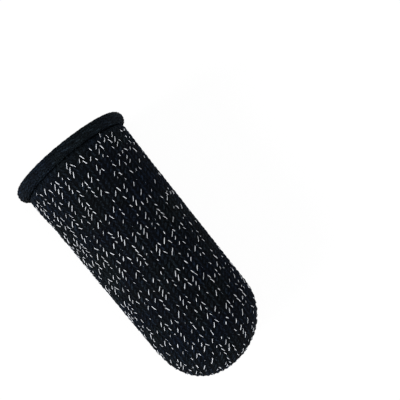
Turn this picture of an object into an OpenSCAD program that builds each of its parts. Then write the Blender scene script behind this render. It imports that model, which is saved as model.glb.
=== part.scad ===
// Gaming finger sleeve: a close-knit tube for one fingertip, closed at the tip by a curved
// seam, whose open edge has curled outward into a roll. A second, silver yarn shows in it
// as scattered stitch legs. The sleeve lies on its side: X runs from the mouth to the tip,
// Z is up, and the origin is on the table under the middle of the sleeve.

/* [Sleeve] */
// Length from the rolled mouth to the end of the tip
overall_length = 45; // [38:0.5:70]
// Width of the body at the mouth, without the roll
mouth_width = 20.2; // [16:0.1:26]
// Width of the body where the tip begins to round off
tip_width = 18.9; // [15:0.1:26]
// Height of the body for each unit of its width
section_ratio = 0.75; // [0.65:0.01:0.95]
// Thickness of the knitted fabric at the crest of a wale
fabric = 0.45; // [0.35:0.05:0.6]
// Length of the rounded tip
tip_depth = 9.5; // [7:0.1:13]
// Fullness of the tip's outline, where 2 is an ellipse
tip_fullness = 2.1; // [1.8:0.1:2.6]
// How far the end of the tip leans to one side
tip_lean = 0.8; // [-1:0.1:1]

/* [Rolled rim] */
// Thickness of the roll, measured outward from the finger
roll_diameter = 2.3; // [2:0.05:3]
// How far the roll stands out past the body
roll_overhang = 0.9; // [0.7:0.05:1.2]
// Gap between the turns of the roll
roll_gap = 0.06; // [0.04:0.01:0.12]
// Length of the neck that the roll pulls in, behind the roll
neck_length = 0.9; // [0.8:0.1:2]

/* [Underside] */
// How deep the underside of the body is pressed flat by the table
body_flat = 0.25; // [0.2:0.01:0.3]
// How deep the underside of the roll is pressed flat by the table
roll_flat = 0.12; // [0.08:0.01:0.15]
// Length over which the body rises from the table towards the roll
rise_length = 9; // [6:0.5:14]

/* [Knit] */
// Wales, the columns of stitches, around the sleeve
wale_count = 30; // [24:2:36]
// Depth of the groove between two wales
groove_depth = 0.13; // [0.08:0.01:0.15]
// Angle at which the wales wind around the sleeve
wale_lean = 2.2; // [0:0.1:5]
// Spacing of the courses, the rows of stitches
course_height = 0.86; // [0.7:0.01:1.2]

/* [Silver yarn] */
// Length of a silver stitch leg along the sleeve
leg_length = 0.78; // [0.6:0.01:0.84]
// Width of a silver stitch leg
leg_width = 0.36; // [0.25:0.01:0.4]
// Height of a silver stitch leg above the fabric
leg_height = 0.16; // [0.1:0.01:0.25]
// Clearance under a silver stitch leg
leg_clearance = 0.04; // [0.03:0.01:0.06]
// Share of the stretches of a wale in which the silver yarn comes to the face
streak_share = 0.3; // [0.1:0.01:0.5]
// Seed of the scatter of the silver yarn
scatter_seed = 11; // [1:1:99]

/* [Hidden] */

// Two lines of points follow each wale: its crest and the groove beside it
lines = 2 * wale_count;
half = wale_count;
// Steps along the rounded tip and around one turn of the roll
tip_steps = 6;
turn_steps = 12;
neck_steps = 3;

// Where the tip begins, measured from the mouth
tip_start = overall_length - tip_depth;

// The roll is a spiral. Its middle line starts on the finger side of the roll
roll_pitch = fabric + roll_gap;
roll_start = (roll_diameter - fabric + roll_pitch / 2) / 2;
roll_steps = floor((roll_start - fabric / 2 - roll_gap) / roll_pitch * turn_steps);
roll_x = roll_start - roll_pitch / 4 + fabric / 2;
roll_out = roll_overhang - (roll_start - roll_pitch / 2 + fabric / 2);
roll_back = roll_start - 3 / 4 * roll_pitch + fabric / 2;
neck_end = roll_x + roll_back + neck_length;
rise_end = neck_end + rise_length;

// Rings of the body from the tip back to the neck, and the height of its underside there
body_rings = [
    tip_start,
    tip_start - (tip_start - rise_end) / 3,
    tip_start - 2 * (tip_start - rise_end) / 3,
    rise_end,
    neck_end + rise_length * 2 / 3,
    neck_end + rise_length / 3,
    neck_end
];
rim_underside = roll_overhang - roll_flat;

function ease(t) = t <= 0 ? 0 : t >= 1 ? 1 : t * t * (3 - 2 * t);
function underside_at(x) =
    -body_flat + (rim_underside + body_flat) * (1 - ease((x - roll_x) / (rise_end - roll_x)));
// The underside runs straight from ring to ring, like the facets of the body
underside_table = concat(
    [[0, underside_at(0)], [roll_x, underside_at(roll_x)]],
    [for (k = [len(body_rings) - 1:-1:0]) [body_rings[k], underside_at(body_rings[k])]]
);
function underside(x) = lookup(x, underside_table);

function half_width(x) =
    (mouth_width + (tip_width - mouth_width) * min(x, tip_start) / tip_start) / 2;
function half_height(x) = half_width(x) * section_ratio;
function middle(x) = underside(x) + half_height(x);

// Angle around the oval section for a share of its girth, so that wales are evenly spaced
girth_steps = 120;
girth_sums = [
    for (
        k = 0, sum = 0;
        k <= girth_steps;
        sum = sum + norm([sin((k + 0.5) * 360 / girth_steps),
                          section_ratio * cos((k + 0.5) * 360 / girth_steps)]),
        k = k + 1
    ) sum
];
girth_table = [
    for (k = [0:girth_steps]) [girth_sums[k] / girth_sums[girth_steps], k * 360 / girth_steps]
];
function girth_angle(share) =
    360 * floor(share) + lookup(share - floor(share), girth_table);
girth = girth_sums[girth_steps] * (2 * PI / girth_steps) * half_width(tip_start);

// Angle of a line of points: the wales wind slightly around the body and run straight
// into the tip
function line_angle(i, x) =
    girth_angle(i / lines - max(0, tip_start - x) * tan(wale_lean) / girth);
function groove(i) = i % 2 == 0 ? groove_depth : 0;

// Point at a distance off the body's outer surface, along the section's normal
function section_point(i, x, off) =
    let (
        a = line_angle(i, x),
        w = half_width(x),
        h = half_height(x),
        n = [h * cos(a), w * sin(a)] / norm([h * cos(a), w * sin(a)])
    )
    [x, w * cos(a) + off * n[0], middle(x) + h * sin(a) + off * n[1]];

// Point on the rounded tip, turn being 0 at its start and 90 on the seam at its edge
function tip_reach(i) = pow(1 - pow(abs(cos(line_angle(i, tip_start))), tip_fullness), 1 / tip_fullness);
function tip_point(i, turn, off) =
    let (
        c = cos(line_angle(i, tip_start)),
        side = sin(line_angle(i, tip_start)) < 0 ? -1 : 1,
        t = tip_reach(i) * sin(turn),
        narrowing = pow(max(0, 1 - pow(t, tip_fullness)), 1 / tip_fullness),
        rise = sqrt(max(0, narrowing * narrowing - c * c)),
        w = half_width(tip_start) + off,
        h = half_height(tip_start) + off
    )
    [
        tip_start + (tip_depth + off) * t,
        w * c - tip_lean * t * t,
        middle(tip_start) + side * h * (turn == 90 ? 0 : rise)
    ];

function raise(p, floor_z) = [p[0], p[1], max(p[2], floor_z)];

// The fabric's middle line from the neck into the roll, as [x, distance off the body],
// and both of its faces
neck_low = roll_out - roll_start;
function neck_ease(t) = t * t * (2 - t);
function neck_off(x) =
    neck_low + (-fabric / 2 - neck_low) * neck_ease((x - roll_x) / (neck_end - roll_x));
neck_rings = [
    for (k = [1:neck_steps - 1]) neck_end + (roll_x - neck_end) * k / neck_steps
];
function roll_point(k, side) =
    let (
        turn = k / turn_steps,
        r = roll_start - roll_pitch * turn - side * fabric / 2,
        a = -90 - 360 * turn
    )
    [roll_x + r * cos(a), roll_out + r * sin(a)];

face_profile = concat(
    [for (x = body_rings) [x, 0]],
    [for (x = neck_rings) [x, neck_off(x) + fabric / 2]],
    [for (k = [0:roll_steps]) roll_point(k, 1)]
);
lining_profile = concat(
    [for (k = [roll_steps:-1:0]) roll_point(k, -1)],
    [for (k = [len(neck_rings) - 1:-1:0]) [neck_rings[k], neck_off(neck_rings[k]) - fabric / 2]],
    [for (k = [len(body_rings) - 1:-1:0]) [body_rings[k], -fabric]]
);

// The lining keeps the fabric's thickness where the table presses the body flat
function lining_floor(x, off) = off == -fabric ? underside(x) + body_flat + fabric : 0;

// Rings of the whole wall: out along the face, through the roll and back on the lining
wall_points = concat(
    [
        for (p = face_profile) for (i = [0:lines - 1])
            raise(section_point(i, p[0], p[1] - groove(i)), 0)
    ],
    [
        for (p = lining_profile) for (i = [0:lines - 1])
            raise(section_point(i, p[0], p[1]), lining_floor(p[0], p[1]))
    ]
);
wall_rings = len(face_profile) + len(lining_profile);

// The tip's rows have no points on the two side lines, which end where the tip begins.
// Its last row is the seam, shared by the upper and the lower lines
tip_row = lines - 2;
function tip_points(off, grooved, floor_z) = concat(
    [
        for (j = [1:tip_steps - 1]) for (i = [1:lines - 1]) if (i != half)
            raise(tip_point(i, 90 * j / tip_steps, off - (grooved ? groove(i) : 0)), floor_z)
    ],
    [for (i = [1:half - 1]) tip_point(i, 90, off - (grooved ? groove(i) : 0))]
);
tip_size = (tip_steps - 1) * tip_row + half - 1;

// Index of a point of the tip, from its row and line, given where its parts are stored
function tip_index(ring, store, j, i) =
    j == 0 || i % half == 0
        ? ring * lines + i % lines
        : j < tip_steps
            ? store + (j - 1) * tip_row + (i < half ? i - 1 : i - 2)
            : store + (tip_steps - 1) * tip_row + (i < half ? i : lines - i) - 1;

function quad(a, b, c, d) = [
    for (f = [[a, b, c], [a, c, d]])
        if (f[0] != f[1] && f[1] != f[2] && f[2] != f[0]) f
];
face_store = wall_rings * lines;
lining_store = face_store + tip_size;
wall_faces = [
    for (k = [0:wall_rings - 2]) for (i = [0:lines - 1])
        each quad(
            k * lines + i,
            k * lines + (i + 1) % lines,
            (k + 1) * lines + (i + 1) % lines,
            (k + 1) * lines + i
        )
];
face_tip_faces = [
    for (j = [0:tip_steps - 1]) for (i = [0:lines - 1])
        each quad(
            tip_index(0, face_store, j, i + 1),
            tip_index(0, face_store, j, i),
            tip_index(0, face_store, j + 1, i),
            tip_index(0, face_store, j + 1, i + 1)
        )
];
lining_tip_faces = [
    for (j = [0:tip_steps - 1]) for (i = [0:lines - 1])
        each quad(
            tip_index(wall_rings - 1, lining_store, j, i),
            tip_index(wall_rings - 1, lining_store, j, i + 1),
            tip_index(wall_rings - 1, lining_store, j + 1, i + 1),
            tip_index(wall_rings - 1, lining_store, j + 1, i)
        )
];

// Origin under the middle of the sleeve
module laid_down() {
    translate([-overall_length / 2, 0, 0])
        children();
}

module knit_sleeve() {
    color([0.07, 0.085, 0.1])
        laid_down()
            polyhedron(
                points = concat(
                    wall_points,
                    tip_points(0, true, 0),
                    tip_points(-fabric, false, fabric)
                ),
                faces = concat(wall_faces, face_tip_faces, lining_tip_faces),
                convexity = 8
            );
}

// Point of the face between two lines of points, at a distance from the mouth
function face_point(i, x) =
    x <= tip_start
        ? section_point(i, x, -groove(i))
        : tip_point(i, asin(min(1, (x - tip_start) / ((tip_depth - groove(i)) * tip_reach(i)))), -groove(i));
function flank_point(i, share, x) = face_point(i, x) * (1 - share) + face_point(i + 1, x) * share;

// One leg of a stitch, a slim pointed grain of yarn that lies on one flank of a wale.
// It runs from a share of the flank at x_from to another share at x_to
module stitch_leg(i, share_from, share_to, x_from, x_to) {
    start = flank_point(i, share_from, x_from);
    end = flank_point(i, share_to, x_to);
    centre = (start + end) / 2;
    along = (end - start) / norm(end - start);
    across_flank = face_point(i + 1, centre[0]) - face_point(i, centre[0]);
    down_flank = flank_point(i, 0.5, x_to) - flank_point(i, 0.5, x_from);
    out = cross(across_flank, down_flank) / norm(cross(across_flank, down_flank));
    across = cross(out, along);
    shoulder = leg_clearance + leg_height / 3;
    polyhedron(
        points = [
            start + out * shoulder,
            end + out * shoulder,
            centre + out * shoulder + across * leg_width / 2,
            centre + out * shoulder - across * leg_width / 2,
            centre + out * (leg_clearance + leg_height),
            centre + out * leg_clearance
        ],
        faces = [
            [0, 2, 4], [0, 4, 3], [0, 5, 2], [0, 3, 5],
            [1, 4, 2], [1, 3, 4], [1, 2, 5], [1, 5, 3]
        ]
    );
}

// The silver yarn comes to the face in streaks of a few courses of one wale
streak_courses = 4;
first_course = neck_end + course_height;
course_count = floor((overall_length - first_course - course_height) / course_height);
streaks = ceil(course_count / streak_courses);
streak_draws = rands(0, 1, wale_count * streaks, scatter_seed);
leg_draws = rands(0, 1, wale_count * course_count * 2, scatter_seed + 1);
leg_share_in_streak = 0.55;
leg_share_outside = 0.06;
// Legs keep this far from the ends of their lines and from the table
edge_margin = 0.6;
table_margin = 0.5;
// Right legs slant across most of their flank, left legs stand steeper
right_shares = [0.2, 0.8];
left_shares = [0.35, 0.65];

function in_streak(wale, course) =
    streak_draws[wale * streaks + floor(course / streak_courses)] < streak_share;
function is_silver(wale, course, side) =
    leg_draws[(wale * course_count + course) * 2 + side]
        < (in_streak(wale, course) ? leg_share_in_streak : leg_share_outside);
function line_end(i) = tip_start + tip_depth * min(tip_reach(i), tip_reach(i + 1));

module silver_yarn() {
    color([0.72, 0.74, 0.76])
        laid_down()
            for (wale = [0:wale_count - 1]) {
                crest = 2 * wale + 1;
                for (course = [0:course_count - 1]) {
                    x_to = first_course + course * course_height;
                    x_from = x_to - leg_length;
                    for (side = [0:1]) {
                        i = crest - side;
                        low = face_point(i, x_to)[2];
                        shares = side == 0 ? left_shares : right_shares;
                        near_crest = side == 0 ? shares[0] : 1 - shares[0];
                        near_groove = side == 0 ? shares[1] : 1 - shares[1];
                        if (is_silver(wale, course, side) && x_to < line_end(i) - edge_margin
                            && low > table_margin)
                            stitch_leg(i, near_groove, near_crest, x_from, x_to);
                    }
                }
            }
}

knit_sleeve();
silver_yarn();
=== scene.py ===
"""Looks of a knitted finger sleeve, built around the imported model.

The fabric is laid out flat as real stitches, in fabric coordinates: across the wales, along
them, and off the fabric's middle surface. One function then wraps it all into the sleeve, from
the curl inside the rolled rim to the seam at the edge of the tip. Sizes are in millimetres up
to there and in metres beyond.
"""

import logging
import math
import random
from dataclasses import dataclass, field
from enum import Enum

import bmesh
import bpy
import numpy as np
from mathutils import Matrix, Vector


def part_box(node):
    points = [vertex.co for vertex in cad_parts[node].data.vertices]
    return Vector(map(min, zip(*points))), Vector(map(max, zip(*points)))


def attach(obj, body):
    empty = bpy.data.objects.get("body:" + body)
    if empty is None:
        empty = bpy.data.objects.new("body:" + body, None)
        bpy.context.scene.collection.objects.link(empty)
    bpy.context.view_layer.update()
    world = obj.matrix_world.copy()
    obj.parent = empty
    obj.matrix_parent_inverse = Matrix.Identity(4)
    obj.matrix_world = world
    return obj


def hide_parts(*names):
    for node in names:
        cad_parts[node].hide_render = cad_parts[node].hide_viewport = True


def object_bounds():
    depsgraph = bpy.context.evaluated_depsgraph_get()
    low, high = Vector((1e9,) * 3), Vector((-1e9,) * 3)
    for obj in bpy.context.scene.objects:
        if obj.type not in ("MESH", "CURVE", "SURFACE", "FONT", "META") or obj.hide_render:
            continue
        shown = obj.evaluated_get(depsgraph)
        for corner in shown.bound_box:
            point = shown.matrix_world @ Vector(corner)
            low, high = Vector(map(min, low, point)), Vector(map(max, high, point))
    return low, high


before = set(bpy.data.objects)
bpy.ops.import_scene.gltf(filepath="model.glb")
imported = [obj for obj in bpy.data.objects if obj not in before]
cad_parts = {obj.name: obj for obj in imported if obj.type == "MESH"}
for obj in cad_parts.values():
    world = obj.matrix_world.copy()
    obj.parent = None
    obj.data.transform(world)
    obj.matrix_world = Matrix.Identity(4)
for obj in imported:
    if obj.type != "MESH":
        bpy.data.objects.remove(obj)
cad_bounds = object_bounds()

log = logging.getLogger("finger_sleeve")

Array = np.ndarray
Socket = bpy.types.NodeSocket
Span = tuple[float, float]
Place = tuple[float, float]
Colour = tuple[float, float, float]
Inputs = dict[str | int, object]

MILLIMETRE = 0.001
TINY = 1e-9
TONE = "tone"
YARN_UV = "yarn"
WHITE = (1.0, 1.0, 1.0, 1.0)


class Side(Enum):
    """The two legs of a stitch, as seen with the mouth of the sleeve at the top."""

    LEFT = "left"
    RIGHT = "right"


class Face(Enum):
    """The two faces of the fabric, with the sign of their lift off its middle surface."""

    KNIT = 1
    PURL = -1


def smooth_step(share: Array | float) -> Array | float:
    """Eases a share from 0 to 1, with what lies outside them clamped."""
    t = np.clip(share, 0.0, 1.0)
    return t * t * (3.0 - 2.0 * t)


def bend_between(start: float, corner: float, end: float, share: Array) -> Array:
    """One coordinate of a bend that leaves its start towards a corner and ends along it."""
    return (1 - share) ** 2 * start + 2 * share * (1 - share) * corner + share * share * end


def table_cell(place: Array, steps: int) -> tuple[Array, Array]:
    """Cell of a table of even steps that a place is in, and how far through the cell it is."""
    low = np.clip(np.floor(place).astype(int), 0, steps - 1)
    return low, place - low


def direction(azimuth: float, elevation: float) -> Vector:
    """Direction from the object to a place around it, which is given in degrees."""
    a, e = math.radians(azimuth), math.radians(elevation)
    return Vector((math.cos(e) * math.cos(a), math.cos(e) * math.sin(a), math.sin(e)))


@dataclass
class SleeveForm:
    """Shape of the sleeve, in millimetres, as a map from the flat fabric to the frame.

    A point of the fabric has its place across the wales (counted in wales, from the right edge
    over the top to the left), its run along them (0 where the neck ends, growing towards the
    tip, below 0 in the neck and the roll) and its lift off the fabric's middle surface.
    """

    # Body
    length: float
    mouth_width: float = 20.2
    tip_width: float = 18.9
    section_ratio: float = 0.75
    fabric: float = 0.45

    # Rounded tip
    tip_depth: float = 9.5
    tip_fullness: float = 2.1
    tip_lean: float = 0.8
    shortest_tip: float = 0.001

    # Roll of the rim, and its neck
    roll_diameter: float = 2.3
    roll_overhang: float = 0.9
    roll_gap: float = 0.06
    roll_swell: float = 0.08
    roll_stretch: float = 1.16
    roll_droop: float = 0.13
    rim_skew: float = 0.01
    neck_turn: float = 0.22
    neck_bend: float = 0.35

    # Rise of the body behind the roll
    mouth_flare: float = 0.2
    flare_length: float = 7.0
    shoulder_rise: float = 0.7
    shoulder_length: float = 3.0

    # Flats that it rests on
    body_flat: float = 0.25
    roll_flat: float = 0.12
    rise_length: float = 9.0
    rest_height: float = 2.0

    # Knit
    wales: int = 30
    wale_lean: float = 2.2
    course: float = 0.86
    feeds: int = 5

    # Steps of the tables
    girth_steps: int = 720
    roll_steps: int = 199
    neck_steps: int = 16
    under_steps: int = 180
    wale_steps: int = 600
    turn_steps: int = 64

    # Worked out from the sizes above
    tip_start: float = field(init=False)
    wale_width: float = field(init=False)
    neck_end: float = field(init=False)
    neck_run: float = field(init=False)
    roll_run: float = field(init=False)
    body_run: float = field(init=False)

    def __post_init__(self) -> None:
        """Works out the derived sizes and the tables that the map looks up."""
        self.tip_start = self.length - self.tip_depth
        self._tabulate_girth()
        self._tabulate_roll()
        self.body_run = self.tip_start - self.neck_end
        self._tabulate_underside()
        self._tabulate_tip()

    def _tabulate_girth(self) -> None:
        """Tabulates the section's angle against the share of its girth."""
        steps = self.girth_steps
        middle = (np.arange(steps) + 0.5) * math.tau / steps
        pieces = np.hypot(np.sin(middle), self.section_ratio * np.cos(middle))
        sums = np.concatenate([[0.0], np.cumsum(pieces)])
        self._girth_share = sums / sums[-1]
        self._girth_angle = np.linspace(0.0, math.tau, steps + 1)
        unit_girth = sums[-1] * math.tau / steps
        mean_width = (self.tip_width + self.mouth_width) / 2.0
        self._girth = unit_girth * self.tip_width / 2.0
        self.wale_width = unit_girth * mean_width / 2.0 / self.wales

    def _tabulate_roll(self) -> None:
        """Tabulates the middle line of the neck and the roll, and its normal, against the run.

        The roll is a spiral. Its outermost stretch passes under it as the neck, and turns into
        the body's line with a small bend.
        """
        pitch = self.fabric + self.roll_gap
        start = (self.roll_diameter - self.fabric + pitch / 2.0) / 2.0
        out = self.roll_overhang - (start - pitch / 2.0 + self.fabric / 2.0)
        self._roll_x = start - pitch / 4.0 + self.fabric / 2.0
        self._neck_low = out - start
        turns = (start - self.fabric / 2.0 - self.roll_gap) / pitch
        turn = np.linspace(-self.neck_turn, turns, self.roll_steps + 1)
        radius = start - pitch * turn
        angle = -math.pi / 2.0 - math.tau * turn
        spiral_x = self._roll_x + radius * np.cos(angle)
        spiral_off = out + radius * np.sin(angle)
        self.neck_end = float(spiral_x[0]) + self.neck_bend

        level = -self.fabric / 2.0
        to_corner = (level - spiral_off[0]) * (spiral_x[0] - spiral_x[1])
        corner_x = spiral_x[0] + to_corner / (spiral_off[0] - spiral_off[1])
        share = np.linspace(0.0, 1.0, self.neck_steps + 1)[:-1]
        bend_x = bend_between(self.neck_end, corner_x, spiral_x[0], share)
        bend_off = bend_between(level, level, spiral_off[0], share)

        x = np.concatenate([bend_x, spiral_x])
        off = np.concatenate([bend_off, spiral_off])
        run = -np.concatenate([[0.0], np.cumsum(np.hypot(np.diff(x), np.diff(off)))])
        self.neck_run = float(np.interp(0.0, turn, run[self.neck_steps:]))
        self.roll_run = float(run[-1])
        run, x, off = run[::-1], x[::-1], off[::-1]
        along_x, along_off = np.gradient(x, run), np.gradient(off, run)
        size = np.hypot(along_x, along_off)
        self._profile_run = run
        self._profile = np.stack([x, off, -along_off / size, along_x / size])

    def _tabulate_underside(self) -> None:
        """Tabulates the height of the section's lowest line along the sleeve."""
        rise_end = self.neck_end + self.rise_length
        self._under_x = np.linspace(0.0, self.length, self.under_steps + 1)
        rim = self.roll_overhang - self.roll_flat
        share = (self._under_x - self._roll_x) / (rise_end - self._roll_x)
        self._under_z = -self.body_flat + (rim + self.body_flat) * (1.0 - smooth_step(share))

    def _tabulate_tip(self) -> None:
        """Tabulates each wale's length over the tip and the turn against the share of it."""
        wale = np.linspace(0.0, self.wales, self.wale_steps + 1)
        turn = np.linspace(0.0, math.pi / 2.0, self.turn_steps + 1)
        grid_wale, grid_turn = np.meshgrid(wale, turn, indexing="ij")
        off = np.full(grid_wale.size, -self.fabric / 2.0)
        points = self._tip_point(grid_wale.ravel(), grid_turn.ravel(), off)
        points = points.reshape(*grid_wale.shape, 3)
        steps = np.linalg.norm(np.diff(points, axis=1), axis=2)
        sums = np.concatenate([np.zeros((len(wale), 1)), np.cumsum(steps, axis=1)], axis=1)
        shares = np.linspace(0.0, 1.0, self.turn_steps + 1)
        rows = sums / np.maximum(sums[:, -1:], TINY)
        self._tip_wale = wale
        self._tip_length = sums[:, -1]
        self._tip_turn = np.array([np.interp(shares, row, turn) for row in rows])

    def half_width(self, x: Array) -> Array:
        """Half the body's width at a distance from the mouth."""
        share = np.minimum(x, self.tip_start) / self.tip_start
        return (self.mouth_width + (self.tip_width - self.mouth_width) * share) / 2.0

    def middle(self, x: Array) -> Array:
        """Height of the section's middle at a distance from the mouth."""
        under = np.interp(x, self._under_x, self._under_z)
        return under + self.half_width(x) * self.section_ratio

    def tip_length(self, wale: Array | float) -> Array:
        """Length of a wale over the tip, from where the tip begins to its seam."""
        return np.interp(np.asarray(wale) % self.wales, self._tip_wale, self._tip_length)

    def seam_run(self, wale: float) -> float:
        """Run at which a wale meets the tip's seam."""
        return self.body_run + float(self.tip_length(wale))

    def angle(self, wale: Array, x: Array) -> Array:
        """Angle around the section of a place across the wales.

        Args:
            wale: Place across the wales.
            x: Distance from the mouth, which matters because the wales wind slightly.

        Returns:
            Angles in radians, 0 at the right edge and a quarter turn on top.
        """
        lean = math.tan(math.radians(self.wale_lean))
        share = wale / self.wales - np.maximum(0.0, self.tip_start - x) * lean / self._girth
        return np.interp(share % 1.0, self._girth_share, self._girth_angle)

    def place(self, wale: Array, run: Array, lift: Array) -> Array:
        """Places points of the fabric in the frame, settled flat where they rest on the floor.

        Args:
            wale: Place across the wales.
            run: Run along the wales, in millimetres.
            lift: Lift off the fabric's middle surface, in millimetres.

        Returns:
            Points in metres, one row each.
        """
        half_fabric = self.fabric / 2.0
        body = self._body_point(wale, *self._profile_at(wale, run, lift))
        tip = self._tip_point(wale, self._tip_turn_at(wale, run), lift - half_fabric)
        x, y, z = np.where((run > self.body_run)[:, None], tip, body).T
        inner = np.where(run < 0.0, half_fabric + lift, half_fabric - lift)
        z = np.maximum(z, np.maximum(inner * (z < self.rest_height), 0.0))
        fade = 1.0 - smooth_step(x / (self.length / 2.0))
        x = x - (self.rim_skew * y * fade + self.length / 2.0)
        return np.stack([x, y, z], axis=1) * MILLIMETRE

    def wrap(self, mesh: bpy.types.Mesh) -> None:
        """Wraps a mesh that is laid out flat, in millimetres, into the sleeve.

        Args:
            mesh: Mesh with its vertices at (place across, run, lift).
        """
        flat = np.zeros(len(mesh.vertices) * 3, np.float32)
        mesh.vertices.foreach_get("co", flat)
        flat = flat.reshape(-1, 3).astype(float)
        placed = self.place(flat[:, 0] / self.wale_width, flat[:, 1], flat[:, 2])
        mesh.vertices.foreach_set("co", placed.astype(np.float32).ravel())
        mesh.update()

    def _profile_at(self, wale: Array, run: Array, lift: Array) -> list[Array]:
        """Places points on the fabric's profile along the sleeve.

        The roll swells and stretches towards the left, the body flares a little towards the
        mouth, and a shoulder fills the crease between the two.

        Args:
            wale: Place across the wales.
            run: Run along the wales.
            lift: Lift off the fabric's middle surface.

        Returns:
            Distances from the mouth, and distances off the body's outer surface.
        """
        x, off, normal_x, normal_off = (
            np.interp(run, self._profile_run, row) for row in self._profile
        )
        in_roll = run < 0.0
        x = np.where(in_roll, x + normal_x * lift, self.neck_end + run)
        off = np.where(in_roll, off + normal_off * lift, lift - self.fabric / 2.0)

        angle = self.angle(wale, x)
        left = 0.5 - 0.5 * np.cos(angle)
        rolled = smooth_step(run / self.neck_run)
        low = self._neck_low - self.fabric / 2.0
        swell = 1.0 + self.roll_swell * left * rolled
        off = np.where(in_roll, low + (off - low) * swell, off)
        off = off + self.mouth_flare * left * (1.0 - smooth_step(run / self.flare_length))
        shoulder = (1.0 - rolled) * (1.0 - smooth_step(run / self.shoulder_length))
        off = off + self.shoulder_rise * np.sin(angle) ** 2 * shoulder

        stretch = self.roll_stretch + self.roll_droop * left ** 3
        neck_end = self.neck_end * stretch
        on_body = neck_end + run * (self.tip_start - neck_end) / self.body_run
        return [np.where(in_roll, x * stretch, np.minimum(on_body, self.tip_start)), off]

    def _body_point(self, wale: Array, x: Array, off: Array) -> Array:
        """Places points around the body's oval section.

        Args:
            wale: Place across the wales.
            x: Distance from the mouth.
            off: Distance off the body's outer surface.

        Returns:
            Points in millimetres, measured from the mouth.
        """
        angle = self.angle(wale, x)
        width = self.half_width(x)
        height = width * self.section_ratio
        normal_y = height * np.cos(angle)
        normal_z = width * np.sin(angle)
        size = np.hypot(normal_y, normal_z)
        y = width * np.cos(angle) + off * normal_y / size
        z = self.middle(x) + height * np.sin(angle) + off * normal_z / size
        return np.stack([x, y, z], axis=1)

    def _tip_point(self, wale: Array, turn: Array, off: Array) -> Array:
        """Places points on the tip.

        Args:
            wale: Place across the wales.
            turn: 0 where the tip begins, a quarter turn on the seam, more beyond it.
            off: Distance off the body's outer surface.

        Returns:
            Points in millimetres, measured from the mouth.
        """
        tip_start = np.full(wale.shape, self.tip_start)
        angle = self.angle(wale, tip_start)
        across = np.clip(np.cos(angle), -1.0, 1.0)
        above = np.where(np.sin(angle) < 0.0, -1.0, 1.0)
        side = above * np.where(turn > math.pi / 2.0, -1.0, 1.0)
        power = self.tip_fullness
        reach = np.power(np.maximum(0.0, 1.0 - np.abs(across) ** power), 1.0 / power)
        along = reach * np.sin(turn)
        narrow = np.power(np.maximum(0.0, 1.0 - along ** power), 1.0 / power)
        rise = np.sqrt(np.maximum(0.0, narrow * narrow - across * across))
        width = self.tip_width / 2.0 + off
        height = self.tip_width / 2.0 * self.section_ratio + off
        x = self.tip_start + (self.tip_depth + off) * along
        y = width * across - self.tip_lean * along * along
        z = self.middle(tip_start) + side * height * rise
        return np.stack([x, y, z], axis=1)

    def _tip_turn_at(self, wale: Array, run: Array) -> Array:
        """Turn over the tip for a run beyond where the tip begins.

        Args:
            wale: Place across the wales.
            run: Run along the wales, which may pass the seam.

        Returns:
            Angles in radians, a quarter turn on the seam and more beyond it.
        """
        wale = wale % self.wales
        share = (run - self.body_run) / np.maximum(self.tip_length(wale), self.shortest_tip)
        share = np.clip(share, 0.0, 2.0)
        beyond = share > 1.0
        share = np.where(beyond, 2.0 - share, share)
        row, past_row = table_cell(wale / self.wales * self.wale_steps, self.wale_steps)
        column, past_column = table_cell(share * self.turn_steps, self.turn_steps)
        near, far = (
            self._tip_turn[line, column] * (1.0 - past_column)
            + self._tip_turn[line, column + 1] * past_column
            for line in (row, row + 1)
        )
        turn = near * (1.0 - past_row) + far * past_row
        return np.where(beyond, math.pi - turn, turn)


class NodeGraph:
    """The nodes of a material or of the world."""

    def __init__(self, owner: bpy.types.Material | bpy.types.World) -> None:
        """Turns on the nodes of the owner."""
        owner.use_nodes = True
        self.tree = owner.node_tree

    def feed(self, node: bpy.types.Node, inputs: Inputs) -> None:
        """Sets inputs of a node.

        Args:
            node: Node to set them on.
            inputs: For each input, a plain value or the output that feeds it.
        """
        for name, value in inputs.items():
            if isinstance(value, Socket):
                self.tree.links.new(value, node.inputs[name])
            else:
                node.inputs[name].default_value = value

    def add(
        self, kind: str, inputs: Inputs | None = None, **settings: object
    ) -> bpy.types.bpy_prop_collection:
        """Adds a node.

        Args:
            kind: Type of the node.
            inputs: For each input to set, a plain value or the output that feeds it.
            settings: Settings of the node itself.

        Returns:
            The node's outputs.
        """
        node = self.tree.nodes.new(kind)
        for name, setting in settings.items():
            setattr(node, name, setting)
        self.feed(node, inputs or {})
        return node.outputs

    def noise(self, place: Socket, size: float, detail: float) -> Socket:
        """Adds a noise whose blotches have a size in metres, and gives its output around 0.5."""
        inputs = {"Vector": place, "Scale": 1.0 / size, "Detail": detail}
        return self.add("ShaderNodeTexNoise", inputs)["Fac"]

    def math(self, operation: str, first: object, second: object) -> Socket:
        """Adds a sum of two values or outputs, and gives its result."""
        return self.add("ShaderNodeMath", {0: first, 1: second}, operation=operation)[0]

    def seen(self) -> Socket:
        """Tells rays seen directly, in gloss or through glass from the others.

        Returns:
            An output that is 1 for seen rays and 0 for lighting rays.
        """
        path = self.add("ShaderNodeLightPath")
        direct = self.math("MAXIMUM", path["Is Camera Ray"], path["Is Glossy Ray"])
        return self.math("MAXIMUM", direct, path["Is Transmission Ray"])


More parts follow.
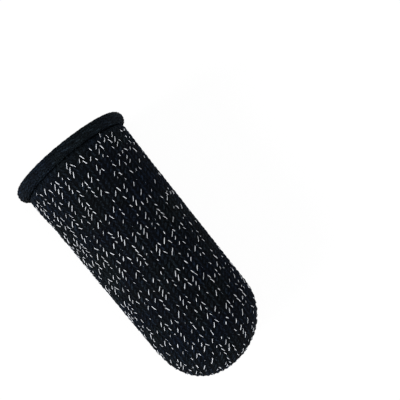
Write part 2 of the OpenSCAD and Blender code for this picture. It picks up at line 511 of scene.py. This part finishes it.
@dataclass(frozen=True)
class YarnFinish:
    """Finish of one yarn: two tints that drift over the object, a mottle, a twist and a grain.

    The slot is not used, and the node is the CAD node that its pieces stand for. Sizes and
    depths are in metres.
    """

    name: str
    slot: str
    node: str
    tint: Colour
    other_tint: Colour
    drift_size: float
    mottle_size: float
    mottle_depth: float
    roughness: float
    specular: float
    metallic: float
    twist_depth: float
    grain_depth: float
    grain_size: float
    drift_span: Span = (0.38, 0.62)
    mottle_span: Span = (0.36, 0.64)
    bump_strength: float = 0.6
    plies: float = 2.0
    turns: float = 5.0
    wave_rate: float = 10.0

    def dress(self, mesh: bpy.types.Mesh) -> bpy.types.Object:
        """Makes a finished mesh a piece of the object.

        Args:
            mesh: Mesh in metres, in the frame.

        Returns:
            The piece.
        """
        piece = bpy.data.objects.new(mesh.name, mesh)
        bpy.context.scene.collection.objects.link(piece)
        mesh.materials.append(bpy.data.materials.get(self.name) or self._material())
        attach(piece, "root")
        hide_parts(self.node)
        log.info("%s: %d faces", mesh.name, len(mesh.polygons))
        return piece

    def _material(self) -> bpy.types.Material:
        """Makes the node material.

        Returns:
            A material that reads Object coordinates, the yarn's UV map and its tone.
        """
        material = bpy.data.materials.new(self.name)
        graph = NodeGraph(material)
        place = graph.add("ShaderNodeTexCoord")["Object"]
        inputs = {
            "Base Color": self._colour(graph, place),
            "Roughness": self.roughness,
            "Metallic": self.metallic,
            "Specular IOR Level": self.specular,
            "Normal": self._normal(graph, place),
        }
        graph.feed(graph.tree.nodes["Principled BSDF"], inputs)
        return material

    def _colour(self, graph: NodeGraph, place: Socket) -> Socket:
        """Adds the drift between the two tints, the mottle and the tone.

        Args:
            graph: Nodes of the material.
            place: Its Object coordinates.

        Returns:
            The output with the colour.
        """
        tints = graph.tree.nodes.new("ShaderNodeValToRGB")
        graph.feed(tints, {"Fac": graph.noise(place, self.drift_size, detail=2.0)})
        for k, tint in enumerate((self.tint, self.other_tint)):
            tints.color_ramp.elements[k].position = self.drift_span[k]
            tints.color_ramp.elements[k].color = (*tint, 1.0)
        inputs = {
            "Value": graph.noise(place, self.mottle_size, detail=1.0),
            "From Min": self.mottle_span[0],
            "From Max": self.mottle_span[1],
            "To Min": 1.0 - self.mottle_depth,
            "To Max": 1.0 + self.mottle_depth,
        }
        mottle = graph.add("ShaderNodeMapRange", inputs)["Result"]
        tone = graph.add("ShaderNodeAttribute", attribute_name=TONE)["Fac"]
        shade = graph.math("MULTIPLY", tone, mottle)
        inputs = {0: tints.outputs["Color"], "Scale": shade}
        return graph.add("ShaderNodeVectorMath", inputs, operation="SCALE")["Vector"]

    def _normal(self, graph: NodeGraph, place: Socket) -> Socket:
        """Adds the twist of the yarn's plies and the grain of its fibres.

        Args:
            graph: Nodes of the material.
            place: Its Object coordinates.

        Returns:
            The output with the normal.
        """
        waves = [math.tau * count / self.wave_rate for count in (self.plies, self.turns)]
        uv = graph.add("ShaderNodeUVMap", uv_map=YARN_UV)["UV"]
        wound = graph.add("ShaderNodeMapping", {"Vector": uv, "Scale": (*waves, 0.0)})
        inputs = {"Vector": wound["Vector"], "Scale": 1.0}
        twist = graph.add("ShaderNodeTexWave", inputs, bands_direction="DIAGONAL")["Fac"]
        grain = graph.noise(place, self.grain_size, detail=3.0)
        inputs = {"Strength": self.bump_strength}
        for height, depth in ((twist, self.twist_depth), (grain, self.grain_depth)):
            inputs |= {"Height": height, "Distance": depth}
            inputs["Normal"] = graph.add("ShaderNodeBump", inputs)["Normal"]
        return inputs["Normal"]


DARK_YARN = YarnFinish(
    name="dark_yarn",
    slot="dark_knit",
    node="knit_sleeve",
    tint=(0.0022, 0.0039, 0.0077),
    other_tint=(0.0032, 0.0050, 0.0066),
    drift_size=0.006,
    mottle_size=0.00022,
    mottle_depth=0.9,
    roughness=0.85,
    specular=0.03,
    metallic=0.0,
    twist_depth=0.00004,
    grain_depth=0.00004,
    grain_size=0.00012,
)
SILVER_YARN = YarnFinish(
    name="silver_yarn",
    slot="silver_yarn",
    node="silver_yarn",
    tint=(0.80, 0.815, 0.83),
    other_tint=(0.86, 0.87, 0.88),
    drift_size=0.004,
    mottle_size=0.0003,
    mottle_depth=0.06,
    roughness=0.45,
    specular=0.5,
    metallic=0.35,
    twist_depth=0.00002,
    grain_depth=0.00001,
    grain_size=0.0001,
)


@dataclass(frozen=True)
class Grain:
    """A short, slim length of yarn whose ends dip out of sight.

    Its middle can bend to one side. Lengths are in halves of its own width, height and length.
    """

    around: int = 6
    along: int = 6
    fullness: float = 0.6
    dip: float = 0.5
    bend: float = 0.0
    pole: float = 1e-6

    def mesh(self) -> bpy.types.Mesh:
        """Makes the grain's mesh.

        Returns:
            A mesh that lies along Z, with its outer side towards Y.
        """
        bm = bmesh.new()
        bm.loops.layers.uv.new(YARN_UV)
        bm.verts.layers.float.new(TONE)
        bmesh.ops.create_uvsphere(
            bm, u_segments=self.around, v_segments=self.along, radius=1.0, calc_uvs=True
        )
        for vert in bm.verts:
            along = vert.co.z
            ring = math.hypot(vert.co.x, vert.co.y)
            if ring > self.pole:
                vert.co.x *= ring ** (self.fullness - 1.0)
                vert.co.y *= ring ** (self.fullness - 1.0)
            vert.co.x += self.bend * (1.0 - along * along)
            vert.co.y -= self.dip * along * along
        mesh = bpy.data.meshes.new("grain")
        bm.to_mesh(mesh)
        bm.free()
        mesh.shade_smooth()
        return mesh


@dataclass
class GrainField:
    """Many grains laid out on the flat fabric, then wrapped into the sleeve as one piece."""

    name: str
    form: SleeveForm
    _whole: bmesh.types.BMesh = field(init=False, default_factory=bmesh.new)
    _strip: bmesh.types.BMesh = field(init=False, default_factory=bmesh.new)

    def lay(
        self,
        grain: bpy.types.Mesh,
        start: Place,
        end: Place,
        *,
        lift: float,
        width: float,
        height: float,
        tone: float,
        face: Face = Face.KNIT,
    ) -> None:
        """Lays one grain on the flat fabric.

        Args:
            grain: Mesh to copy.
            start: Place across the wales and run of its one end.
            end: The same for its other end.
            lift: Lift of its middle off the fabric's middle surface.
            width: Its width.
            height: Its height.
            tone: How bright its yarn is, where 1 is the finish's own colour.
            face: Face of the fabric that it shows on.
        """
        first = Vector((start[0] * self.form.wale_width, start[1], lift))
        last = Vector((end[0] * self.form.wale_width, end[1], lift))
        along = (last - first).normalized()
        up = Vector((0.0, 0.0, float(face.value)))
        across = up.cross(along)
        matrix = Matrix.Translation((first + last) / 2.0) @ Matrix(
            (
                (across.x * width / 2.0, 0.0, (last.x - first.x) / 2.0, 0.0),
                (across.y * width / 2.0, 0.0, (last.y - first.y) / 2.0, 0.0),
                (0.0, up.z * height / 2.0, 0.0, 0.0),
                (0.0, 0.0, 0.0, 1.0),
            )
        )
        known = len(self._strip.verts)
        self._strip.from_mesh(grain)
        self._strip.verts.ensure_lookup_table()
        added = self._strip.verts[known:]
        bmesh.ops.transform(self._strip, matrix=matrix, verts=added)
        layer = self._strip.verts.layers.float[TONE]
        for vert in added:
            vert[layer] = tone

    def close_strip(self) -> None:
        """Moves the grains laid so far into the whole field, which keeps the laying quick."""
        strip = bpy.data.meshes.new("strip")
        self._strip.to_mesh(strip)
        self._strip.clear()
        self._whole.from_mesh(strip)
        bpy.data.meshes.remove(strip)

    def wrapped(self) -> bpy.types.Mesh:
        """Wraps the field into the sleeve.

        Returns:
            The mesh, in metres.
        """
        mesh = bpy.data.meshes.new(self.name)
        self._whole.to_mesh(mesh)
        self._whole.free()
        self._strip.free()
        self.form.wrap(mesh)
        return mesh


@dataclass(frozen=True)
class LegPath:
    """Where a stitch's leg runs, from its foot towards the tip to its head towards the mouth.

    Foot and head are places across, counted in wales from the stitch's middle line. The shift
    is how far towards the tip the leg lies from the middle of its course. The last leg of a
    wale stays clear of the seam by a share of a course.
    """

    foot: float
    head: float
    rise: float
    width: float
    shift: float
    bend: float
    seam_share: float = 0.2

    @property
    def middle(self) -> float:
        """Place across of the leg's middle."""
        return (self.foot + self.head) / 2.0

    def ends(self, wale: float, run: float, share: float) -> tuple[Place, Place]:
        """Ends of a length of the leg.

        Args:
            wale: Place across the wales of the stitch's middle line.
            run: Run of the leg's middle.
            share: Length to take, as a share of the whole leg about its middle.

        Returns:
            Foot and head, each as place across and run.
        """
        middle = wale + self.middle
        reach = (self.head - self.foot) / 2.0 * share
        half_rise = self.rise / 2.0 * share
        return (middle - reach, run + half_rise), (middle + reach, run - half_rise)

    def runs(self, form: SleeveForm, wale: float, first_run: float) -> list[float]:
        """Runs of the courses of one wale's legs, up to the tip's seam.

        The sleeve is knitted in the round from several feeds, so its courses climb as a screw
        and meet themselves after one turn, as many courses further on as there are feeds.

        Args:
            form: Shape of the sleeve.
            wale: Place across the wales of the stitch's middle line.
            first_run: Lowest run to start from.

        Returns:
            Runs of the middles of the legs.
        """
        middle = wale + self.middle
        last_run = form.seam_run(middle) - self.seam_share * form.course
        climb = form.feeds * form.course * middle / form.wales + self.shift
        first = math.ceil((first_run - climb) / form.course)
        last = math.floor((last_run - climb) / form.course)
        return [climb + form.course * k for k in range(first, last + 1)]


LEG_PATHS = {
    Side.RIGHT: LegPath(foot=-0.14, head=-0.51, rise=0.97, width=0.50, shift=0.10, bend=0.25),
    Side.LEFT: LegPath(foot=0.13, head=0.34, rise=1.12, width=0.38, shift=-0.10, bend=-0.25),
}


@dataclass
class KnitShell:
    """The thin closed sheet between the stitches, which keeps light from passing through.

    Its rows are those over the roll, the body and the tip. Its tone paints shade into the gaps
    between the legs, and less of it over the roll and its neck.
    """

    form: SleeveForm
    thickness: float = 0.2
    ridge: float = 0.03
    lift: float = -0.005
    columns: int = 120
    rows: tuple[int, int, int] = (72, 40, 24)
    # painted shade: the body's low tone darkens the gaps between the legs; the roll's higher one
    # paints less shade there, which lightens the crease under the roll
    tone: float = 0.25
    roll_shade_tone: float = 0.55
    weld: float = 0.002

    def build(self) -> None:
        """Builds the sheet from the curl inside the roll to the tip's seam."""
        mesh = bpy.data.meshes.new("knit_shell")
        self._lay_out(mesh)
        self.form.wrap(mesh)
        bm = bmesh.new()
        bm.from_mesh(mesh)
        bmesh.ops.remove_doubles(bm, verts=bm.verts, dist=self.weld * MILLIMETRE)
        bmesh.ops.recalc_face_normals(bm, faces=bm.faces)
        bm.to_mesh(mesh)
        bm.free()
        shell = DARK_YARN.dress(mesh)
        wall = shell.modifiers.new("wall", "SOLIDIFY")
        wall.thickness = self.thickness * MILLIMETRE
        wall.offset = 0.0

    def _lay_out(self, mesh: bpy.types.Mesh) -> None:
        """Lays the sheet out flat, with a low ridge along each wale.

        Args:
            mesh: Mesh to fill.
        """
        marks = np.cumsum((0, *self.rows))
        rows = int(marks[-1])
        bm = bmesh.new()
        bm.loops.layers.uv.new(YARN_UV)
        tone = bm.verts.layers.float.new(TONE)
        bmesh.ops.create_grid(
            bm, x_segments=self.columns, y_segments=rows, size=0.5, calc_uvs=True
        )
        for vert in bm.verts:
            wale = round((vert.co.x + 0.5) * self.columns) / self.columns * self.form.wales
            runs = (self.form.roll_run, 0.0, self.form.body_run, self.form.seam_run(wale))
            run = float(np.interp(round((vert.co.y + 0.5) * rows), marks, runs))
            # painted shade in the gaps between the legs, lighter over the roll and its neck
            vert[tone] = self.tone if run > 0.0 else self.roll_shade_tone
            vert.co.x = wale * self.form.wale_width
            vert.co.y = run
            vert.co.z = self.lift - self.ridge * math.cos(math.tau * wale)
        bm.to_mesh(mesh)
        bm.free()
        mesh.shade_smooth()


@dataclass
class KnitFace:
    """The dark knit face: each stitch shows as two legs that open towards the mouth."""

    form: SleeveForm
    first_run: float = -0.8
    height: float = 0.29
    lift: float = 0.095
    lift_play: float = 0.02
    length_play: float = 0.04
    widths: Span = (0.85, 1.1)
    tones: Span = (0.55, 1.4)
    seed: int = 5

    def build(self) -> None:
        """Builds the left and the right legs as a piece each."""
        draws = random.Random(self.seed)
        for side, path in LEG_PATHS.items():
            grain = Grain(bend=path.bend).mesh()
            legs = GrainField(f"dark_legs_{side.value}", self.form)
            for column in range(self.form.wales):
                wale = column + 0.5
                for run in path.runs(self.form, wale, self.first_run):
                    share = 1.0 + draws.uniform(-self.length_play, self.length_play)
                    legs.lay(
                        grain,
                        *path.ends(wale, run, share),
                        lift=self.lift + draws.uniform(-self.lift_play, self.lift_play),
                        width=path.width * draws.uniform(*self.widths),
                        height=self.height,
                        tone=draws.uniform(*self.tones),
                    )
                legs.close_strip()
            DARK_YARN.dress(legs.wrapped())


@dataclass
class PurlFace:
    """The dark purl face, which shows on the roll and as the lining: rows of small arcs."""

    form: SleeveForm
    rim_spacing: float = 0.38
    seam_margin: float = 0.3
    length: float = 0.7
    width: float = 0.21
    height: float = 0.13
    fullness: float = 0.7
    bend: float = 0.45
    lift: float = -0.12
    lift_play: float = 0.01
    sizes: Span = (0.9, 1.1)
    tones: Span = (0.35, 1.8)
    seed: int = 7

    def build(self) -> None:
        """Builds the arcs of the roll's outer turn and those of the lining."""
        neck = self.form.neck_run
        outer_turn = neck - math.pi * (self.form.roll_diameter - self.form.fabric)
        self._arcs("rim_arcs", outer_turn, neck, self.rim_spacing)
        self._arcs("lining_arcs", neck, math.inf, self.form.course)

    def _arcs(self, name: str, first: float, last: float, spacing: float) -> None:
        """Builds one piece of arcs.

        Args:
            name: Name of the piece.
            first: Run of its first row.
            last: Run that its last row stays within, besides the tip's seam.
            spacing: Distance between rows.
        """
        draws = random.Random(self.seed)
        grains = [
            Grain(along=4, fullness=self.fullness, bend=bend).mesh()
            for bend in (-self.bend, self.bend)
        ]
        arcs = GrainField(name, self.form)
        for column in range(2 * self.form.wales):
            wale = column / 2.0 + 0.25
            odd = column % 2
            start = first + 0.5 * spacing * odd
            end = min(last, self.form.seam_run(wale) - self.seam_margin)
            for k in range(int((end - start) / spacing) + 1):
                run = start + k * spacing
                half = self.length / 2.0 * draws.uniform(*self.sizes)
                arcs.lay(
                    grains[odd],
                    (wale - half, run),
                    (wale + half, run),
                    lift=self.lift + draws.uniform(-self.lift_play, self.lift_play),
                    width=self.width * draws.uniform(*self.sizes),
                    height=self.height,
                    tone=draws.uniform(*self.tones),
                    face=Face.PURL,
                )
            arcs.close_strip()
        DARK_YARN.dress(arcs.wrapped())


@dataclass(frozen=True)
class Strand:
    """One showing length of the silver yarn: the stitch's middle line, its leg and its run."""

    wale: float
    side: Side
    run: float


@dataclass(frozen=True)
class StrandStyle:
    """How the silver yarn shows on one side's legs.

    The chances are those of starting a chain and of going on with it. The share is how much of
    the leg's length shows.
    """

    start_chance: float
    stay_chance: float
    width: float
    share: float


STRAND_STYLES = {
    Side.RIGHT: StrandStyle(start_chance=0.43, stay_chance=0.52, width=0.100, share=0.74),
    Side.LEFT: StrandStyle(start_chance=0.49, stay_chance=0.33, width=0.096, share=0.64),
}


@dataclass
class StrandScatter:
    """The rule that scatters the silver strands over the legs of the stitches.

    They follow one another in short chains along a wale, and spread evenly, because a leg with
    many strands within reach is less likely to show one. On the left they are more plentiful
    and start a little further from the mouth.
    """

    form: SleeveForm
    draws: random.Random
    first_run: float = -0.2
    first_lean: float = 1.2
    longest_chain: int = 5
    usual_share: float = 0.34
    evenness: float = 0.9
    reach: float = 2.6
    lone_columns: int = 2
    pulls: Span = (0.15, 2.2)
    plenty: float = 0.69
    plenty_lean: float = 0.67
    mouth_plenty: float = 1.2
    plenty_fall: float = 0.35
    tip_evening: float = 0.75
    tip_blend: float = 4.0
    edge_thinning: float = 0.9
    edge_start: float = 0.6
    edge_blend: float = 0.35
    spots: list[Place] = field(init=False, default_factory=list)

    def strands(self, column: int) -> list[Strand]:
        """Decides which legs of one column of stitches show silver.

        Args:
            column: The column.

        Returns:
            The strands that show.
        """
        shown = []
        wale = column + 0.5
        leg_area = self.form.wale_width * self.form.course / 2.0
        known_area = math.pi * self.reach ** 2 / 2.0
        expected = self.usual_share * known_area / leg_area
        left = 0.5 - 0.5 * self._side(wale, 0.0)
        first_run = self.first_run + self.first_lean * left
        for side, path in LEG_PATHS.items():
            style = STRAND_STYLES[side]
            across = (wale + path.middle) * self.form.wale_width
            chain = 0
            for run in path.runs(self.form, wale, first_run):
                level = self._plenty(wale, run)
                pull = level
                if column >= self.lone_columns:
                    near = self.count_near(across, run, self.reach)
                    pull += self.evenness * (level - near / expected)
                chance = style.stay_chance if chain else style.start_chance
                chance *= float(np.clip(pull, *self.pulls))
                if self.draws.random() < chance and chain < self.longest_chain:
                    chain += 1
                    shown.append(Strand(wale, side, run))
                    self.spots.append((across, run))
                else:
                    chain = 0
        return shown

    def count_near(self, across: float, run: float, reach: float) -> int:
        """Counts the strands so far that lie within reach of a spot of the flat fabric."""
        return sum(math.hypot(across - x, run - y) < reach for x, y in self.spots)

    def _side(self, wale: float, run: float) -> float:
        """Where a place lies across the sleeve, from -1 at the left edge to 1 at the right."""
        x = np.array([self.form.neck_end + max(run, 0.0)])
        return math.cos(float(self.form.angle(np.array([wale]), x)[0]))

    def _plenty(self, wale: float, run: float) -> float:
        """How plentiful the strands are at a place.

        Args:
            wale: Place across the wales.
            run: Run of the place.

        Returns:
            1 for the usual number. It is higher on the left and towards the mouth, lower along
            the right edge, and evens out over the tip.
        """
        side = self._side(wale, run)
        over_tip = float(smooth_step((run - self.form.body_run) / self.tip_blend + 0.5))
        lean = self.plenty_lean * (1.0 - self.tip_evening * over_tip)
        level = self.plenty + (self.plenty_lean - lean) / 2.0 + lean * (0.5 - 0.5 * side)
        edge = float(smooth_step((side - self.edge_start) / self.edge_blend)) * (1.0 - over_tip)
        level *= 1.0 - self.edge_thinning * edge
        return level * (self.mouth_plenty - self.plenty_fall * run / self.form.body_run)


@dataclass(frozen=True)
class ShadedSpeckStyle:
    """Dim specks of silver yarn between the dark legs, darkened by painted shade as if lying
    deep among them.
    """

    chance: float = 0.22
    clearance: float = 0.75
    scatter: float = 0.4
    aside: float = 0.12
    sink: float = 0.02
    shares: Span = (0.3, 0.7)
    widths: Span = (0.07, 0.1)
    # very low tones: painted shade on the silver specks
    tones: Span = (0.01, 0.06)


@dataclass
class SilverYarn:
    """The silver yarn, which comes to the knit face as strands on scattered legs."""

    form: SleeveForm
    bends: tuple[float, ...] = (0.0, -0.5, 0.5)
    fullness: float = 0.5
    dip: float = 0.7
    height: float = 0.14
    lift: float = 0.19
    shares: Span = (0.7, 1.35)
    widths: Span = (0.8, 1.25)
    swing: float = 0.03
    dimmest: float = 0.2
    tone_rise: float = 1.4
    brightest: float = 1.1
    faint_chance: float = 0.2
    faint_share: float = 0.7
    faint_sink: float = 0.04
    shaded_speck: ShadedSpeckStyle = ShadedSpeckStyle()
    seed: int = 41

    def __post_init__(self) -> None:
        """Makes the draws, the rule that scatters the strands, and their field."""
        self._draws = random.Random(self.seed)
        self._scatter = StrandScatter(self.form, self._draws)
        self._field = GrainField("silver_strands", self.form)

    def build(self) -> None:
        """Builds all strands as one piece."""
        grains = [
            Grain(fullness=self.fullness, dip=self.dip, bend=bend).mesh() for bend in self.bends
        ]
        for column in range(self.form.wales):
            for strand in self._scatter.strands(column):
                self._lay_strand(self._draws.choice(grains), strand)
            self._lay_shaded_specks(grains[0], column)
            self._field.close_strip()
        SILVER_YARN.dress(self._field.wrapped())

    def _lay_strand(self, grain: bpy.types.Mesh, strand: Strand) -> None:
        """Lays one strand, each a little different in length, width, depth and brightness.

        Args:
            grain: Mesh to copy.
            strand: Strand to lay.
        """
        draws = self._draws
        style = STRAND_STYLES[strand.side]
        strength = draws.random()
        share = style.share * draws.uniform(*self.shares)
        lift = self.lift
        if strength < self.faint_chance:
            share *= self.faint_share
            lift -= self.faint_sink
        start, end = LEG_PATHS[strand.side].ends(strand.wale, strand.run, share)
        swing = draws.gauss(0.0, self.swing)
        self._field.lay(
            grain,
            (start[0] - swing, start[1]),
            (end[0] + swing, end[1]),
            lift=lift,
            width=style.width * draws.uniform(*self.widths),
            height=self.height,
            tone=min(self.dimmest + self.tone_rise * strength, self.brightest),
        )

    def _lay_shaded_specks(self, grain: bpy.types.Mesh, column: int) -> None:
        """Lays the specks of one column of stitches, dimmed by painted shade, clear of the
        strands so far.

        Args:
            grain: Mesh to copy.
            column: The column.
        """
        draws, shaded_speck, scatter = self._draws, self.shaded_speck, self._scatter
        wale = column + 0.5
        for path in LEG_PATHS.values():
            across = (wale + path.middle) * self.form.wale_width
            for run in path.runs(self.form, wale, scatter.first_run):
                run += draws.uniform(-shaded_speck.scatter, shaded_speck.scatter)
                hidden = draws.random() > shaded_speck.chance
                if hidden or scatter.count_near(across, run, shaded_speck.clearance):
                    continue
                share = draws.uniform(*shaded_speck.shares)
                aside = draws.uniform(-shaded_speck.aside, shaded_speck.aside)
                # the speck's low tone is painted shade
                self._field.lay(
                    grain,
                    *path.ends(wale + aside, run, share),
                    lift=self.lift - shaded_speck.sink,
                    width=draws.uniform(*shaded_speck.widths),
                    height=self.height,
                    tone=math.exp(draws.uniform(*(math.log(tone) for tone in shaded_speck.tones))),
                )


@dataclass(frozen=True)
class Lamp:
    """A soft square lamp, placed around the object in degrees and metres."""

    name: str
    azimuth: float
    elevation: float
    power: float
    distance: float = 0.6
    size: float = 0.3


LAMPS = (
    Lamp("key", azimuth=-90.0, elevation=20.0, power=6.8),
    Lamp("fill", azimuth=45.0, elevation=22.0, power=3.2),
    Lamp("top", azimuth=0.0, elevation=89.0, power=1.9),
)


@dataclass
class Studio:
    """Camera, soft lamps and a pale floor, in degrees and metres."""

    lens: float = 100.0
    nearest: float = 0.005
    distance: float = 0.18396
    azimuth: float = -38.21
    elevation: float = 81.24
    roll: float = -0.98
    aim_right: float = 0.00804
    aim_up: float = 0.00898
    floor_reach: float = 1.5
    floor_grey: float = 0.85
    floor_white: float = 0.93
    soft_light: float = 0.21

    def build(self) -> None:
        """Builds the whole studio around the object."""
        self._camera()
        self._floor()
        self._world()
        for lamp in LAMPS:
            self._lamp(lamp)

    @property
    def target(self) -> Vector:
        """Middle of the object."""
        low, high = (Vector(corner) for corner in cad_bounds)
        return (low + high) / 2.0

    def _camera(self) -> None:
        """Places the camera."""
        data = bpy.data.cameras.new("camera")
        data.lens = self.lens
        data.clip_start = self.nearest
        camera = bpy.data.objects.new("camera", data)
        azimuth, roll = math.radians(self.azimuth), math.radians(self.roll)
        back = direction(self.azimuth, self.elevation)
        level = Vector((-math.sin(azimuth), math.cos(azimuth), 0.0))
        upward = back.cross(level)
        right = level * math.cos(roll) + upward * math.sin(roll)
        up = upward * math.cos(roll) - level * math.sin(roll)
        aim = self.target + right * self.aim_right + up * self.aim_up
        turn = Matrix((right, up, back)).transposed().to_4x4()
        camera.matrix_world = Matrix.Translation(aim + back * self.distance) @ turn
        bpy.context.scene.collection.objects.link(camera)
        bpy.context.scene.camera = camera

    def _lamp(self, lamp: Lamp) -> None:
        """Adds a lamp that faces the object.

        Args:
            lamp: Where it stands and how strong it is.
        """
        data = bpy.data.lights.new(lamp.name, "AREA")
        data.size = lamp.size
        data.energy = lamp.power
        piece = bpy.data.objects.new(lamp.name, data)
        out = direction(lamp.azimuth, lamp.elevation)
        turn = out.to_track_quat("Z", "Y").to_matrix().to_4x4()
        piece.matrix_world = Matrix.Translation(self.target + out * lamp.distance) @ turn
        piece.visible_camera = False
        bpy.context.scene.collection.objects.link(piece)

    def _floor(self) -> None:
        """Adds the floor, which shows nearly white and keeps the object's shadow."""
        bm = bmesh.new()
        bmesh.ops.create_grid(bm, x_segments=1, y_segments=1, size=self.floor_reach)
        mesh = bpy.data.meshes.new("floor")
        bm.to_mesh(mesh)
        bm.free()
        floor = bpy.data.objects.new("floor", mesh)
        bpy.context.scene.collection.objects.link(floor)
        material = bpy.data.materials.new("pale_floor")
        graph = NodeGraph(material)
        graph.tree.nodes.clear()
        grey = (self.floor_grey,) * 3
        matt = graph.add("ShaderNodeBsdfDiffuse", {"Color": (*grey, 1.0)})[0]
        white = graph.add("ShaderNodeEmission")[0]
        share = graph.math("MULTIPLY", graph.seen(), self.floor_white)
        mix = graph.add("ShaderNodeMixShader", {"Fac": share, 1: matt, 2: white})[0]
        graph.add("ShaderNodeOutputMaterial", {"Surface": mix})
        mesh.materials.append(material)

    def _world(self) -> None:
        """Makes the world white where it is seen and a soft grey light elsewhere."""
        world = bpy.data.worlds.new("studio")
        graph = NodeGraph(world)
        light = graph.tree.nodes["Background"]
        graph.feed(light, {"Color": WHITE, "Strength": self.soft_light})
        white = graph.add("ShaderNodeBackground", {"Color": WHITE})[0]
        inputs = {"Fac": graph.seen(), 1: light.outputs[0], 2: white}
        mix = graph.add("ShaderNodeMixShader", inputs)[0]
        graph.feed(graph.tree.nodes["World Output"], {"Surface": mix})
        bpy.context.scene.world = world


def main() -> None:
    """Builds the studio and every piece of the sleeve, in order."""
    logging.basicConfig(level=logging.INFO, format="%(name)s: %(message)s")
    bpy.context.scene.view_settings.view_transform = "Standard"
    Studio().build()
    low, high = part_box("knit_sleeve")
    form = SleeveForm(length=round((high.x - low.x) / MILLIMETRE, 2))
    log.info("the sleeve is %.1f mm long", form.length)
    for part in (KnitShell(form), KnitFace(form), PurlFace(form), SilverYarn(form)):
        part.build()


if __name__ == "__main__":
    main()
